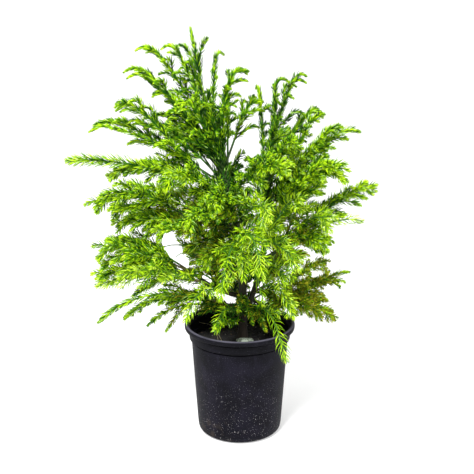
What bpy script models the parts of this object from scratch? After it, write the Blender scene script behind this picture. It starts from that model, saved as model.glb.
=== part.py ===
"""A dwarf Japanese cedar in a round nursery pot, as separate closed solids, in metres with +Z up.

The origin is the middle of the pot's flat underside, and -Y is the front. The plant is a trunk that
leans to the left, a second stem on its right, a few boughs, and many sprays of foliage. Each spray is
one solid: a stem, side twigs that leave it by a seeded rule, and needles whose roots are sunk in them.
"""

import math
import random
from collections import namedtuple

import bpy
import numpy as np
from mathutils import Vector

# ---- Pot: outer radii and heights of a 6.5 inch nursery pot
POT_HEIGHT = 0.172
RIM_RADIUS = 0.0825
MOUTH_RADIUS = 0.0775
LIP_HEIGHT = 0.008
COLLAR_RADIUS = 0.0755
COLLAR_FOOT = 0.148
NECK_RADIUS = 0.0722
WALL_FOOT_RADIUS = 0.0635
CORNER_RADIUS = 0.010
WALL = 0.0014
POT_SIDES = 36
DRAIN_RADIUS = 0.006
DRAIN_RING = 0.042
DRAINS = 5

# ---- Potting mix
MIX_TOP = 0.146
MIX_EDGE_DROP = 0.005
MIX_FLAT_RADIUS = 0.014
GAP = 0.0003
SLIDE = 0.0001

# ---- Growth
MM = 0.001
UP = Vector((0, 0, 1))
TRUNK_FOOT = Vector((0.004, 0.004, MIX_TOP + GAP))
ROOT_FLARE = 1.35
GOLDEN = math.radians(137.5)
SEED = 7
FIRST_TWIG, LAST_TWIG = 0.20, 0.92
TWIGS_BY_RULE = 12
TWIG_STRIDE = 2
TWIG_LEAN = (34, 46)
TWIG_TAPER = 0.75
TWIG_NOD = 0.24
TWIG_FLATNESS = 0.6
STEM_FOOT, STEM_TIP = 0.0024, 0.0014
TWIG_RADIUS = 0.0010
STEM_STEPS, TWIG_STEPS = 6, 2
NEEDLE_LENGTH, NEEDLE_ROOT = 0.0130, 0.00025
NEEDLES_ON_STEM, NEEDLES_ON_TWIG = 5, 2
NEEDLE_LEAN = math.radians(42)
SECTION = [math.radians(turn) for turn in (90, 210, 330)]

# A limb or spray leaves its carrier at a share of the carrier's length. Its tip is set from there by a
# bearing in degrees (0 is to the right, 90 to the back), and by how far it spreads and climbs in mm.
Limb = namedtuple("Limb", "name carrier share bearing spread climb bow foot_mm tip_mm sides")
LIMBS = [
    Limb("trunk", None, 0, 189, 53, 341, (18, 0, 0), 6.8, 1.9, 8),
    Limb("right_stem", "trunk", 0.08, 12, 32, 241, (16, -4, 0), 4.6, 1.8, 8),
    Limb("left_bough", "trunk", 0.19, 197, 70, 39, (0, 0, -6), 3.6, 2.0, 6),
    Limb("left_mid_bough", "trunk", 0.37, 190, 73, 60, (0, 0, -6), 3.2, 1.9, 6),
    Limb("left_high_bough", "trunk", 0.60, 189, 71, 74, (0, 0, -6), 2.8, 1.8, 6),
    Limb("right_low_bough", "right_stem", 0.14, 346, 47, -8, (0, 0, -4), 3.2, 1.9, 6),
    Limb("right_mid_bough", "right_stem", 0.40, 358, 51, 43, (0, 0, -6), 3.0, 1.9, 6),
    Limb("front_bough", "trunk", 0.40, 270, 67, 52, (0, 0, -6), 3.0, 1.9, 6),
]

# A spray also arches by so many mm, and twig is the reach of its longest side twigs in mm.
Spray = namedtuple("Spray", "name carrier share bearing spread climb arch twig green")
SPRAYS = [
    Spray("top_leader", "trunk", 1.00, 198, 20, 116, 4, 70, "dark"),
    Spray("crest_left", "trunk", 0.88, 209, 68, 142, 12, 45, "dark"),
    Spray("high_left_outer", "trunk", 0.85, 183, 102, 146, 18, 55, "dark"),
    Spray("high_left_lower", "trunk", 0.78, 194, 128, 143, 18, 55, "dark"),
    Spray("high_right", "trunk", 0.89, 20, 38, 96, 20, 40, "dark"),
    Spray("centre_front", "trunk", 0.74, 230, 79, 116, 12, 70, "dark"),
    Spray("centre_back", "trunk", 0.70, 116, 96, 125, 12, 75, "dark"),
    Spray("centre_fork", "trunk", 0.76, 36, 54, 98, 10, 60, "dark"),
    Spray("upper_left_tuft", "left_high_bough", 1.00, 202, 88, 77, 18, 60, "dark"),
    Spray("upper_left_reach", "left_high_bough", 0.82, 174, 134, 58, 20, 70, "dark"),
    Spray("long_left", "left_high_bough", 0.55, 187, 193, 38, 10, 35, "mid"),
    Spray("right_leader", "right_stem", 1.00, 341, 43, 124, 6, 75, "dark"),
    Spray("right_fork", "right_stem", 0.66, 110, 38, 188, 6, 45, "dark"),
    Spray("right_pale", "right_stem", 0.86, 292, 78, 82, 8, 40, "mid"),
    Spray("right_hook", "right_stem", 0.90, 27, 82, 94, 14, 45, "dark"),
    Spray("right_reach", "right_stem", 0.76, 359, 124, 106, 18, 70, "mid"),
    Spray("right_shoulder", "right_stem", 0.64, 331, 111, 86, 22, 75, "mid"),
    Spray("far_right_upper", "right_mid_bough", 1.00, 0, 102, 70, 6, 55, "mid"),
    Spray("far_right_lower", "right_mid_bough", 0.78, 340, 105, 41, 8, 40, "bright"),
    Spray("right_back", "right_mid_bough", 0.55, 61, 125, 78, 18, 75, "mid"),
    Spray("left_arch", "left_mid_bough", 1.00, 201, 136, 32, 30, 70, "mid"),
    Spray("left_level", "left_mid_bough", 0.60, 165, 148, 32, 15, 75, "mid"),
    Spray("left_fan_upper", "left_bough", 1.00, 194, 134, 53, 12, 80, "mid"),
    Spray("left_fan_lower", "left_bough", 0.80, 174, 161, 4, 12, 70, "mid"),
    Spray("left_fan_front", "left_bough", 0.60, 219, 164, 54, 15, 70, "bright"),
    Spray("front_left_droop", "left_bough", 0.35, 245, 131, 1, 30, 45, "bright"),
    Spray("low_left_droop", "trunk", 0.13, 196, 212, 4, 34, 50, "mid"),
    Spray("low_left_tip", "trunk", 0.09, 170, 181, -11, 34, 50, "olive"),
    Spray("low_left_hang", "trunk", 0.06, 188, 111, -5, 40, 35, "olive"),
    Spray("low_right_tip", "right_low_bough", 1.00, 17, 101, 47, 4, 55, "olive"),
    Spray("low_right_hang", "right_low_bough", 0.62, 345, 93, -12, 20, 45, "olive"),
    Spray("low_right_front", "right_low_bough", 0.45, 324, 95, 5, 14, 40, "olive"),
    Spray("rim_hang", "trunk", 0.10, 301, 114, -30, 46, 40, "bright"),
    Spray("rim_left", "trunk", 0.07, 244, 89, 22, 26, 30, "bright"),
    Spray("front_right_droop", "right_stem", 0.18, 295, 125, 5, 30, 45, "bright"),
    Spray("front_low_right", "front_bough", 1.00, 289, 89, -43, 26, 45, "bright"),
    Spray("front_low_left", "front_bough", 0.78, 255, 99, -58, 26, 45, "bright"),
    Spray("front_star", "front_bough", 0.55, 305, 134, -3, 22, 55, "bright"),
    Spray("front_high_right", "trunk", 0.50, 286, 156, 56, 24, 60, "bright"),
    Spray("front_high_left", "trunk", 0.46, 246, 164, 62, 24, 60, "mid"),
    Spray("front_crown_left", "trunk", 0.57, 231, 142, 71, 26, 60, "mid"),
    Spray("front_crown_right", "trunk", 0.64, 304, 131, 60, 24, 60, "mid"),
    Spray("back_low_left", "trunk", 0.16, 128, 173, 29, 26, 70, "mid"),
    Spray("back_low_right", "trunk", 0.12, 58, 161, 38, 30, 70, "mid"),
    Spray("back_mid_left", "trunk", 0.43, 130, 183, 52, 26, 75, "mid"),
    Spray("back_mid_centre", "trunk", 0.34, 91, 179, 58, 28, 75, "mid"),
    Spray("back_mid_right", "right_stem", 0.52, 69, 159, 37, 26, 75, "mid"),
    Spray("back_high_left", "trunk", 0.62, 132, 148, 87, 22, 75, "mid"),
    Spray("back_high_right", "right_stem", 0.72, 78, 113, 94, 20, 70, "mid"),
]

COLOURS = {
    "plastic": ((0.030, 0.030, 0.036), 0.55),
    "mix": ((0.030, 0.020, 0.014), 0.95),
    "bark": ((0.120, 0.072, 0.038), 0.85),
    "dark": ((0.060, 0.170, 0.020), 0.50),
    "mid": ((0.110, 0.280, 0.020), 0.50),
    "bright": ((0.230, 0.450, 0.025), 0.50),
    "olive": ((0.130, 0.200, 0.020), 0.55),
}


def clear_scene():
    for obj in list(bpy.data.objects):
        bpy.data.objects.remove(obj)


def new_collection(name):
    collection = bpy.data.collections.new(name)
    bpy.context.scene.collection.children.link(collection)
    return collection


def finish_material(name):
    colour, roughness = COLOURS[name]
    material = bpy.data.materials.get(name) or bpy.data.materials.new(name)
    material.use_nodes = True
    shader = material.node_tree.nodes["Principled BSDF"]
    shader.inputs["Base Color"].default_value = (*colour, 1)
    shader.inputs["Roughness"].default_value = roughness
    return material


def add_object(name, data, collection, finish):
    obj = bpy.data.objects.new(name, data)
    collection.objects.link(obj)
    data.materials.clear()
    data.materials.append(finish_material(finish))
    return obj


# ---- Turned pieces


def turned(name, profile, collection, finish):
    """A body of revolution: profile runs from the axis outwards and down to the axis again."""
    mesh = bpy.data.meshes.new(name)
    edges = [(i, i + 1) for i in range(len(profile) - 1)]
    mesh.from_pydata([(r, 0, z) for r, z in profile], edges, [])
    obj = add_object(name, mesh, collection, finish)
    screw = obj.modifiers.new("turn", "SCREW")
    screw.steps = screw.render_steps = POT_SIDES
    screw.use_merge_vertices = True
    screw.merge_threshold = 1e-5
    return obj


def corner(inset, steps=2):
    """The round between the underside and the wall, from the wall down, drawn in by inset."""
    radius = CORNER_RADIUS - inset
    centre_r, centre_z = WALL_FOOT_RADIUS - CORNER_RADIUS, CORNER_RADIUS
    turns = [math.pi / 2 * i / steps for i in range(steps + 1)]
    return [(centre_r + radius * math.cos(a), centre_z - radius * math.sin(a)) for a in turns]


def pot_profile():
    shoulder = POT_HEIGHT - LIP_HEIGHT
    inside = [
        (0, WALL),
        *reversed(corner(WALL)),
        (NECK_RADIUS - WALL, COLLAR_FOOT - WALL),
        (COLLAR_RADIUS - WALL, COLLAR_FOOT + WALL),
        (COLLAR_RADIUS - WALL, shoulder - WALL),
        (MOUTH_RADIUS, shoulder + 2 * WALL),
        (MOUTH_RADIUS, POT_HEIGHT - WALL),
    ]
    outside = [
        ((MOUTH_RADIUS + RIM_RADIUS) / 2, POT_HEIGHT),
        (RIM_RADIUS, POT_HEIGHT - 2 * WALL),
        (RIM_RADIUS, shoulder),
        (COLLAR_RADIUS, shoulder - WALL),
        (COLLAR_RADIUS, COLLAR_FOOT),
        (NECK_RADIUS, COLLAR_FOOT - 2 * WALL),
        *corner(0),
        (0, 0),
    ]
    return inside + outside


def make_pot(parts, cutters):
    pot = turned("pot", pot_profile(), parts, "plastic")
    for i in range(DRAINS):
        turn = math.tau * (i + 0.5) / DRAINS
        where = (DRAIN_RING * math.cos(turn), DRAIN_RING * math.sin(turn), 0)
        bpy.ops.mesh.primitive_cylinder_add(vertices=12, radius=DRAIN_RADIUS, depth=6 * WALL, location=where)
        hole = bpy.context.object
        hole.name = f"drain_cutter_{i}"
        hole.hide_render = True
        hole.display_type = "WIRE"
        for collection in list(hole.users_collection):
            collection.objects.unlink(hole)
        cutters.objects.link(hole)
    cut = pot.modifiers.new("drain_holes", "BOOLEAN")
    cut.operation = "DIFFERENCE"
    cut.operand_type = "COLLECTION"
    cut.collection = cutters
    return pot


def make_mix(parts):
    """The potting mix: the pot's inside less the gap, flat in the middle and lower at the edge."""
    slope = (NECK_RADIUS - WALL_FOOT_RADIUS) / (COLLAR_FOOT - 2 * WALL - CORNER_RADIUS)
    edge_z = MIX_TOP - MIX_EDGE_DROP
    edge_r = WALL_FOOT_RADIUS + slope * (edge_z - CORNER_RADIUS) - WALL - 2 * GAP
    foot = [(r - GAP, z + 2 * GAP) for r, z in corner(WALL + GAP)]
    profile = [(0, MIX_TOP), (MIX_FLAT_RADIUS, MIX_TOP), (edge_r, edge_z), *foot, (0, WALL + 3 * GAP)]
    return turned("potting_mix", profile, parts, "mix")


# ---- Paths


def arched(foot, tip, bow, power, share):
    """A point of a path from foot to tip that bows out by bow, nodding more at its end for power 3."""
    peak = power ** (-1 / (power - 1))
    lift = (share - share**power) / (peak - peak**power)
    return foot.lerp(tip, share) + bow * lift


def path_of(foot, tip, bow, power, steps):
    return [arched(foot, tip, bow, power, i / steps) for i in range(steps + 1)]


def along(path, share):
    """The point at a share of a path's length in steps, and the way the path runs there."""
    place = min(share * (len(path) - 1), len(path) - 1 - 1e-6)
    i = int(place)
    return path[i].lerp(path[i + 1], place - i), (path[i + 1] - path[i]).normalized()


def gap_to(point, carrier):
    """How far a point lies outside a limb, taken as a row of flat-ended cones."""
    path, radii = carrier["path"], carrier["radii"]
    gaps = []
    for a, b, near, far in zip(path, path[1:], radii, radii[1:]):
        length = (b - a).length
        run = (b - a) / length
        along_run = (point - a).dot(run)
        share = min(max(along_run / length, 0), 1)
        out = (point - a - run * along_run).length - near - (far - near) * share
        beyond = max(-along_run, along_run - length)
        gaps.append(out if beyond < 0 else math.hypot(max(out, 0), beyond))
    return min(gaps)


def tip_of(piece, start):
    """The tip of a limb or spray, from its bearing, spread and climb."""
    turn = math.radians(piece.bearing)
    level = Vector((math.cos(turn), math.sin(turn), 0))
    return start + (level * piece.spread + UP * piece.climb) * MM


def rooted_path(carrier, piece, bow, power, steps, radius, section):
    """The path of a limb or spray to its tip, with its foot slid out until it clears the carrier.

    The corners of its section, and the points halfway between them, are tried along its first step.
    """
    foot, _ = along(carrier["path"], piece.share)
    tip = tip_of(piece, foot)
    while True:
        step = arched(foot, tip, bow, power, 1 / steps) - foot
        run = step.normalized()
        corners = [round_about(run, turn) * radius for turn in section]
        rim = corners + [(a + b) / 2 for a, b in zip(corners, corners[1:] + corners[:1])]
        if min(gap_to(foot + step * i / 4 + edge, carrier) for edge in rim for i in range(4)) > GAP:
            return path_of(foot, tip, bow, power, steps)
        foot = foot + run * SLIDE


def across(run):
    """Two directions square to a path: level, and upwards."""
    level = run.cross(UP).normalized()
    return level, level.cross(run)


def round_about(run, turn):
    """The way out from a path at a turn about it, where 90 degrees is upwards."""
    level, upward = across(run)
    return level * math.cos(turn) + upward * math.sin(turn)


# ---- Space: what has been placed, as round-ended rods


def rod_gaps(a, b, starts, ends):
    """The least distance from the segment a-b to each of many segments."""
    d1, d2, r = b - a, ends - starts, a - starts
    aa, ee = d1 @ d1, (d2 * d2).sum(1)
    bb, cc, ff = d2 @ d1, r @ d1, (d2 * r).sum(1)
    below = aa * ee - bb * bb
    s = np.clip(np.where(below > 1e-18, (bb * ff - cc * ee) / np.where(below > 1e-18, below, 1), 0), 0, 1)
    t = (bb * s + ff) / ee
    s = np.where(t < 0, np.clip(-cc / aa, 0, 1), np.where(t > 1, np.clip((bb - cc) / aa, 0, 1), s))
    t = np.clip(t, 0, 1)
    apart = (a + s[:, None] * d1) - (starts + t[:, None] * d2)
    return np.sqrt((apart * apart).sum(1))


class Space:
    """Keeps each spray out of the others, the limbs and the pot."""

    def __init__(self):
        self.owners = np.empty(0, object)
        self.rods = np.empty((0, 7))

    def add(self, owner, path, radius):
        rods = [(*a, *b, radius) for a, b in zip(path, path[1:])]
        self.rods = np.vstack([self.rods, rods])
        self.owners = np.append(self.owners, [owner] * len(rods))

    def touched(self, owner, path, radius):
        """The owners that the path would touch, other than its own."""
        others = self.owners != owner
        owners, rods = self.owners[others], self.rods[others]
        found = set()
        for a, b in zip(path, path[1:]):
            gaps = rod_gaps(np.array(a), np.array(b), rods[:, :3], rods[:, 3:6]) - rods[:, 6] - radius
            found |= set(owners[gaps < GAP])
        return found

    def blocks(self, owner, path, radius):
        return bool(self.touched(owner, path, radius)) or meets_pot(path, radius)


def meets_pot(path, radius):
    """True if a path comes near the potting mix, or the pot's wall or rim."""
    margin = radius + GAP
    for point in path:
        out = math.hypot(point.x, point.y)
        if point.z < MIX_TOP + margin and out < RIM_RADIUS + margin:
            return True
        if point.z < POT_HEIGHT + margin and COLLAR_RADIUS - WALL - margin < out < RIM_RADIUS + margin:
            return True
    return False


# ---- Wood


def tapered_tube(name, path, radii, collection, finish, sides):
    """A limb as a curve with a round bevel of 6 or 8 sides and closed ends."""
    curve = bpy.data.curves.new(name, "CURVE")
    curve.dimensions = "3D"
    curve.bevel_depth = 1
    curve.bevel_resolution = (sides - 4) // 2
    curve.use_fill_caps = True
    fill_spline(curve, path, radii)
    return add_object(name, curve, collection, finish)


def fill_spline(curve, path, radii):
    spline = curve.splines.new("POLY")
    spline.points.add(len(path) - 1)
    for point, place, radius in zip(spline.points, path, radii):
        point.co = (*place, 1)
        point.radius = radius


def limb_radii(limb, steps):
    """A straight taper, with a flare where the trunk meets the mix."""
    radii = [(limb.foot_mm + (limb.tip_mm - limb.foot_mm) * i / steps) * MM for i in range(steps + 1)]
    if limb.carrier is None:
        radii[0] *= ROOT_FLARE
    return radii


def grow_limbs(parts, space):
    grown = {}
    for limb in LIMBS:
        steps = 10 if limb.sides == 8 else 5
        bow = Vector(limb.bow) * MM
        if limb.carrier is None:
            path = path_of(TRUNK_FOOT, tip_of(limb, TRUNK_FOOT), bow, 2, steps)
            path[0].x, path[0].y = path[1].x, path[1].y
        else:
            rim = [math.tau * i / limb.sides for i in range(limb.sides)]
            path = rooted_path(grown[limb.carrier], limb, bow, 2, steps, limb.foot_mm * MM, rim)
        radii = limb_radii(limb, steps)
        grown[limb.name] = {"path": path, "radii": radii}
        tapered_tube(limb.name, path, radii, parts, "bark", limb.sides)
        for i in range(steps):
            space.add(limb.name, path[i : i + 2], radii[i])
    return grown


# ---- Foliage


def twig_mesh(path, radii):
    """A pointed twig with three sides: a triangle with one corner up, carried along the path."""
    points = []
    for i, radius in enumerate(radii[:-1]):
        run = (path[i + 1] - path[max(i - 1, 0)]).normalized()
        points += [path[i] + round_about(run, turn) * radius for turn in SECTION]
    points.append(path[-1])
    faces, last = [(0, 1, 2)], len(points) - 1
    for i in range(0, last, 3):
        for j in range(3):
            near, far = i + j, i + (j + 1) % 3
            faces.append((far, near, near + 3, far + 3) if i + 3 < last else (far, near, last))
    mesh = bpy.data.meshes.new("twig")
    mesh.from_pydata(points, [], faces)
    return mesh


def needle_mesh(root, way, run, length):
    """A needle as a spike with three sides, narrow enough at its root to stay inside its twig."""
    side = run.cross(way).normalized()
    out = way.cross(side)
    base = [-out, (out + side * math.sqrt(3)) / 2, (out - side * math.sqrt(3)) / 2]
    points = [root + corner * NEEDLE_ROOT for corner in base] + [root + way * length]
    mesh = bpy.data.meshes.new("needle")
    mesh.from_pydata(points, [], [(2, 1, 0), (0, 1, 3), (1, 2, 3), (2, 0, 3)])
    return mesh


def twigs_by_rule(index, spray, path):
    """The side twigs of a spray as (foot, heading, length), thinned to every TWIG_STRIDE-th.

    They go round the stem by the golden angle, shorter towards its tip, flattened up and down.
    """
    draw = random.Random(SEED + index)
    found = []
    for k in range(TWIGS_BY_RULE):
        share = FIRST_TWIG + (LAST_TWIG - FIRST_TWIG) * k / (TWIGS_BY_RULE - 1)
        turn = k * GOLDEN + draw.uniform(-0.4, 0.4)
        lean = math.radians(draw.uniform(*TWIG_LEAN))
        length = spray.twig * MM * (1 - TWIG_TAPER * share) * draw.uniform(0.85, 1.15)
        foot, run = along(path, share)
        level, upward = across(run)
        side = (level * math.cos(turn) + upward * math.sin(turn) * TWIG_FLATNESS).normalized()
        heading = run * math.cos(lean) + side * math.sin(lean)
        if k % TWIG_STRIDE == 1:
            found.append((foot, heading, length))
    return found


def twig_path(foot, heading, length, steps):
    """A side twig that runs straight at first and nods at its tip."""
    shares = [i / steps for i in range(steps + 1)]
    return [foot + heading * (length * s) - UP * (TWIG_NOD * length * s**3) for s in shares]


def needles_by_rule(path, count, first, last):
    """Needles along a path as (root, way, run, length), leaving its three sides in turn."""
    found = []
    for k in range(count):
        share = first + (last - first) * k / max(count - 1, 1)
        root, run = along(path, share)
        side = round_about(run, SECTION[k % 3] + math.pi)
        way = run * math.cos(NEEDLE_LEAN) + side * math.sin(NEEDLE_LEAN)
        found.append((root, way, run, NEEDLE_LENGTH * (1 - 0.2 * share)))
    return found


def place_stems(grown, space):
    """Every spray's stem, before any twig, so that none loses its way to its tip."""
    stems = []
    for spray in SPRAYS:
        arch = UP * spray.arch * MM
        path = rooted_path(grown[spray.carrier], spray, arch, 3, STEM_STEPS, STEM_FOOT, SECTION)
        met = space.touched(spray.name, path[1:], STEM_FOOT)
        met |= space.touched(spray.name, path[:2], STEM_FOOT) - {spray.carrier}
        if met or meets_pot(path, STEM_FOOT):
            print("stem of", spray.name, "touches", sorted(met) or "the pot")
        space.add(spray.name, path, STEM_FOOT)
        stems.append(path)
    return stems


def place_twigs(stems, space):
    """Side twigs in turn from every spray. One that would touch another spray or a limb is skipped."""
    twigs = [[] for _ in SPRAYS]
    offers = [twigs_by_rule(i, spray, stems[i]) for i, spray in enumerate(SPRAYS)]
    for rank in range(max(map(len, offers))):
        for i, spray in enumerate(SPRAYS):
            path = twig_path(*offers[i][rank], TWIG_STEPS)
            if not space.blocks(spray.name, path, TWIG_RADIUS):
                space.add(spray.name, path, TWIG_RADIUS)
                twigs[i].append(path)
    return twigs


def place_needles(stems, twigs, space):
    """The needles of every spray. One that would touch another spray, a limb or the pot is skipped."""
    needles = [[] for _ in SPRAYS]
    for i, spray in enumerate(SPRAYS):
        offers = needles_by_rule(stems[i], NEEDLES_ON_STEM, 0.15, 0.92)
        for path in twigs[i]:
            offers += needles_by_rule(path, NEEDLES_ON_TWIG, 0.42, 0.75)
        for needle in offers:
            root, way, _, length = needle
            rod = [root, root + way * length]
            if not space.blocks(spray.name, rod, NEEDLE_ROOT):
                space.add(spray.name, rod, NEEDLE_ROOT)
                needles[i].append(needle)
    return needles


def fused(name, stem, twigs, needles, parts, joining):
    """One spray: twigs and needles joined to the stem by one Boolean union on a collection."""
    stem_radii = [STEM_FOOT + (STEM_TIP - STEM_FOOT) * k / STEM_STEPS for k in range(STEM_STEPS + 1)]
    twig_radii = [TWIG_RADIUS] * (TWIG_STEPS + 1)
    for mesh in [twig_mesh(path, twig_radii) for path in twigs] + [needle_mesh(*n) for n in needles]:
        joining.objects.link(bpy.data.objects.new(mesh.name, mesh))
    obj = bpy.data.objects.new(name, twig_mesh(stem, stem_radii))
    parts.objects.link(obj)
    union = obj.modifiers.new("join", "BOOLEAN")
    union.operation = "UNION"
    union.operand_type = "COLLECTION"
    union.collection = joining
    union.solver = "MANIFOLD"
    bpy.context.view_layer.update()
    graph = bpy.context.evaluated_depsgraph_get()
    joined = bpy.data.meshes.new_from_object(obj.evaluated_get(graph))
    joined.name = name
    obj.modifiers.clear()
    obj.data = joined
    for piece in list(joining.objects):
        bpy.data.objects.remove(piece)
    return obj


def grow_sprays(parts, joining, grown, space):
    stems = place_stems(grown, space)
    twigs = place_twigs(stems, space)
    needles = place_needles(stems, twigs, space)
    for i, spray in enumerate(SPRAYS):
        obj = fused(spray.name, stems[i], twigs[i], needles[i], parts, joining)
        obj.data.materials.clear()
        obj.data.materials.append(finish_material(spray.green))
    print(len(SPRAYS), "sprays,", sum(map(len, twigs)), "twigs,", sum(map(len, needles)), "needles")


def main():
    clear_scene()
    parts = new_collection("dwarf_japanese_cedar")
    cutters = new_collection("cutters")
    joining = new_collection("joining")
    make_pot(parts, cutters)
    make_mix(parts)
    space = Space()
    grown = grow_limbs(parts, space)
    grow_sprays(parts, joining, grown, space)
    bpy.data.collections.remove(joining)


main()
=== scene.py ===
# %% [markdown]
# # A dwarf Japanese cedar in a nursery pot
#
# A small bushy conifer with needles round every shoot, in a round pot of black plastic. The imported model
# gives the frame in metres, with +Z up and the front towards -Y. The foliage could be scattered as hair or
# instances. Here numpy grows it again by the model's own rule, down to every needle, so that each is a
# closed mesh that a file can keep, and every run gives the same plant.

import math
import random
from collections import namedtuple

import bpy
import numpy as np
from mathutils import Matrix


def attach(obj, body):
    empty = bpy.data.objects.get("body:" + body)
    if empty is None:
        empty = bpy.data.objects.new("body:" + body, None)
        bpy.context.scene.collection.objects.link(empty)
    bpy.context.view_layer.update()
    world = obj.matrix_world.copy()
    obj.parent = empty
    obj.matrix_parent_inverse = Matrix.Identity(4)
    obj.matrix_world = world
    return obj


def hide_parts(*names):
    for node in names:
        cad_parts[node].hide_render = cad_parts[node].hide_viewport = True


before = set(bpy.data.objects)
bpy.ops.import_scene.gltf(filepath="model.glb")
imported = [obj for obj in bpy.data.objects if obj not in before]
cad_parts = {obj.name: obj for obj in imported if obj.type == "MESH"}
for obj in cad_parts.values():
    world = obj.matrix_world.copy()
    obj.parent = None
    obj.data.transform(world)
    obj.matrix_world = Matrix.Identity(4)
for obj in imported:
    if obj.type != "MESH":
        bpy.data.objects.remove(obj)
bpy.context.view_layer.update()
rng = np.random.default_rng(11)
MM = 0.001
UP = np.array([0.0, 0.0, 1.0])
GOLDEN = math.radians(137.5)

# %% [markdown]
# ## Small tools
#
# Building a mesh corner by corner is slow for a million faces, so each piece is made from whole arrays of
# points and faces.

# %% Directions, noise and paths
NOISE_TABLE = 32


def unit(v):
    """Each row divided by its length."""
    return v / np.maximum(np.linalg.norm(v, axis=-1, keepdims=True), 1e-12)


def smooth_noise(points, cell, seed):
    """Noise from -1 to 1 that varies over about one cell: random corner values, blended across each cell."""
    table = np.random.default_rng(seed).uniform(-1, 1, (NOISE_TABLE,) * 3)
    place = np.asarray(points) / cell
    low = np.floor(place).astype(int)
    part = place - low
    part = part * part * (3 - 2 * part)
    total = 0.0
    for corner in np.ndindex(2, 2, 2):
        x, y, z = ((low[..., i] + step) % NOISE_TABLE for i, step in enumerate(corner))
        a, b, c = (part[..., i] if step else 1 - part[..., i] for i, step in enumerate(corner))
        total = total + a * b * c * table[x, y, z]
    return total


def resampled(path, places):
    """The points of a path at places counted in its own points, on the straight lines between them."""
    return np.stack([np.interp(places, np.arange(len(path)), path[:, i]) for i in range(3)], -1)


print("noise repeats after", NOISE_TABLE, "cells")


# %% Meshes from arrays
def merged(meshes):
    """Many (points, faces) as one, the faces counted on from the points before them."""
    starts = np.cumsum([0] + [len(points) for points, _ in meshes[:-1]])
    return np.vstack([p for p, _ in meshes]), np.vstack([f + s for (_, f), s in zip(meshes, starts)])


def add_piece(name, points, faces, material, smooth=True):
    """An object at the origin from arrays of points and of faces, riding on the plant's one body."""
    mesh = bpy.data.meshes.new(name)
    count, size = faces.shape
    mesh.vertices.add(len(points))
    mesh.vertices.foreach_set("co", np.asarray(points, np.float32).ravel())
    mesh.loops.add(count * size)
    mesh.loops.foreach_set("vertex_index", faces.astype(np.int32).ravel())
    mesh.polygons.add(count)
    mesh.polygons.foreach_set("loop_start", np.arange(0, count * size, size, dtype=np.int32))
    mesh.update(calc_edges=True)
    mesh.validate()
    mesh.polygons.foreach_set("use_smooth", np.full(len(mesh.polygons), smooth))
    mesh.materials.append(material)
    obj = bpy.data.objects.new(name, mesh)
    bpy.context.scene.collection.objects.link(obj)
    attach(obj, "root")
    return obj


def ring_faces(rings, sides, first=0):
    """Four-cornered faces between closed rings of points, where point j of ring i is i * sides + j."""
    i, j = np.meshgrid(np.arange(rings - 1), np.arange(sides), indexing="ij")
    k = (j + 1) % sides
    corners = [i * sides + j, i * sides + k, (i + 1) * sides + k, (i + 1) * sides + j]
    return first + np.stack(corners, -1).reshape(-1, 4)


print("a tube of 3 rings and 4 sides has", len(ring_faces(3, 4)), "faces")

# %% [markdown]
# ## The rule of growth
#
# A short trunk and a second stem carry boughs, and all of them carry sprays of foliage. They could be drawn
# as curves by hand, but rows of numbers are quicker to correct, and the model grows from the same rows. A
# limb or spray leaves its carrier at a share of the carrier's length. Its tip lies on a bearing in degrees
# (0 is to the right, 90 to the back), so many millimetres out and so many up, with an arch between.

# %% Limbs
TRUNK_FOOT = np.array([0.004, 0.004, 0.1463])
Limb = namedtuple("Limb", "name carrier share bearing spread climb bow foot_mm tip_mm")
LIMBS = [
    Limb("trunk", None, 0, 189, 53, 341, (18, 0, 0), 6.8, 1.9),
    Limb("right_stem", "trunk", 0.08, 12, 32, 241, (16, -4, 0), 4.6, 1.8),
    Limb("left_bough", "trunk", 0.19, 197, 70, 39, (0, 0, -6), 3.6, 2.0),
    Limb("left_mid_bough", "trunk", 0.37, 190, 73, 60, (0, 0, -6), 3.2, 1.9),
    Limb("left_high_bough", "trunk", 0.60, 189, 71, 74, (0, 0, -6), 2.8, 1.8),
    Limb("right_low_bough", "right_stem", 0.14, 346, 47, -8, (0, 0, -4), 3.2, 1.9),
    Limb("right_mid_bough", "right_stem", 0.40, 358, 51, 43, (0, 0, -6), 3.0, 1.9),
    Limb("front_bough", "trunk", 0.40, 270, 67, 52, (0, 0, -6), 3.0, 1.9),
]
print(len(LIMBS), "limbs")

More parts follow.
